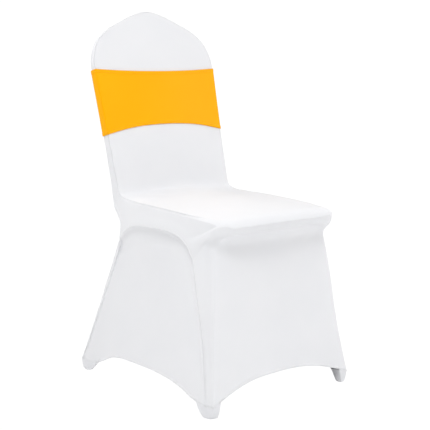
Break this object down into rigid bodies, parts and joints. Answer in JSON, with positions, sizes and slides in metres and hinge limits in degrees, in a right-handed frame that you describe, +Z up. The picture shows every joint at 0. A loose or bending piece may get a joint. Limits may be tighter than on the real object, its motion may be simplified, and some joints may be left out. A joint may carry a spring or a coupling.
{
  "type": "chair cover with sash",
  "caption": "Fitted stretch cover for a crown-back banquet chair, with foot pockets, arched hems and a wide sash band round the back.",
  "frame": {"origin": "on the floor, under the middle of the cover's bounding box", "axes": "+Z is up; the chair faces -Y; +X is to the right seen from the front"},
  "size_m": [0.476, 0.561, 0.9476],
  "materials": {
    "cover_knit": "white stretch knit, smooth and matt",
    "pocket_knit": "white stretch knit, doubled and stitched",
    "sash_knit": "amber yellow stretch knit with turned hems"
  },
  "bodies": {
    "root": {"front_panel": "cover_knit", "back_panel": "cover_knit", "side_panel_left": "cover_knit", "side_panel_right": "cover_knit", "sash": "sash_knit", "foot_pocket_front_left": "pocket_knit", "foot_pocket_front_right": "pocket_knit", "foot_pocket_rear_left": "pocket_knit", "foot_pocket_rear_right": "pocket_knit"}
  },
  "joints": []
}
